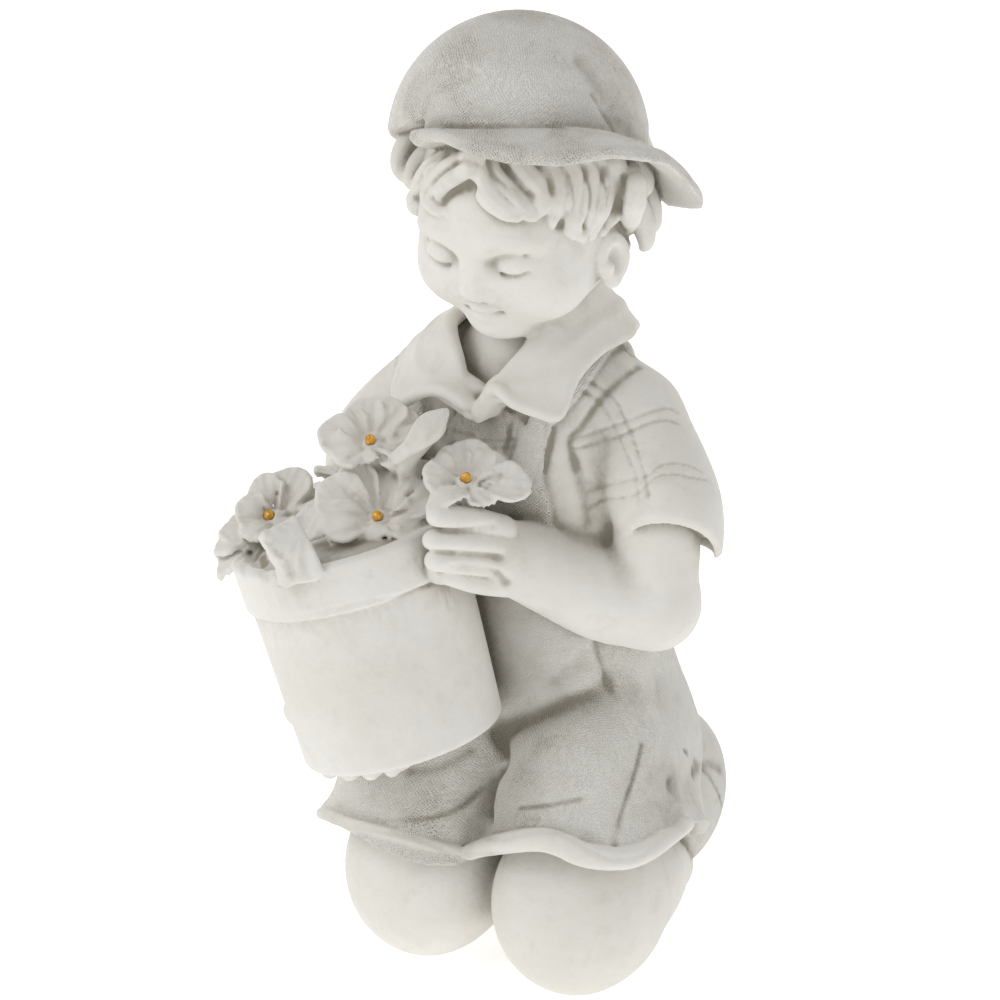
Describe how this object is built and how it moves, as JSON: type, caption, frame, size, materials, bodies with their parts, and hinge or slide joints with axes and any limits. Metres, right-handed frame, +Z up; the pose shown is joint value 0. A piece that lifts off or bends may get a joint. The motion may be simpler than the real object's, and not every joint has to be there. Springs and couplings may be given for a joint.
{
  "type": "garden statue",
  "caption": "Kneeling boy in a cap and overalls who holds a leaning flower pot, cast in pale stone, with amber beads in its open flowers; stands on its knees and feet.",
  "frame": {"origin": "on the ground, under the middle of the statue's bounding box", "axes": "+Z up, -Y the way the boy faces, +X towards the boy's left hand"},
  "size_m": [0.2105, 0.2683, 0.4601],
  "materials": {
    "cast_stone": "pale matte cast stone with grey-beige patina in its recesses",
    "amber_bead": "clear glossy amber"
  },
  "bodies": {
    "root": {"boy_with_flower_pot": "cast_stone", "flower_bead_1": "amber_bead", "flower_bead_2": "amber_bead", "flower_bead_3": "amber_bead", "flower_bead_4": "amber_bead"}
  },
  "joints": []
}
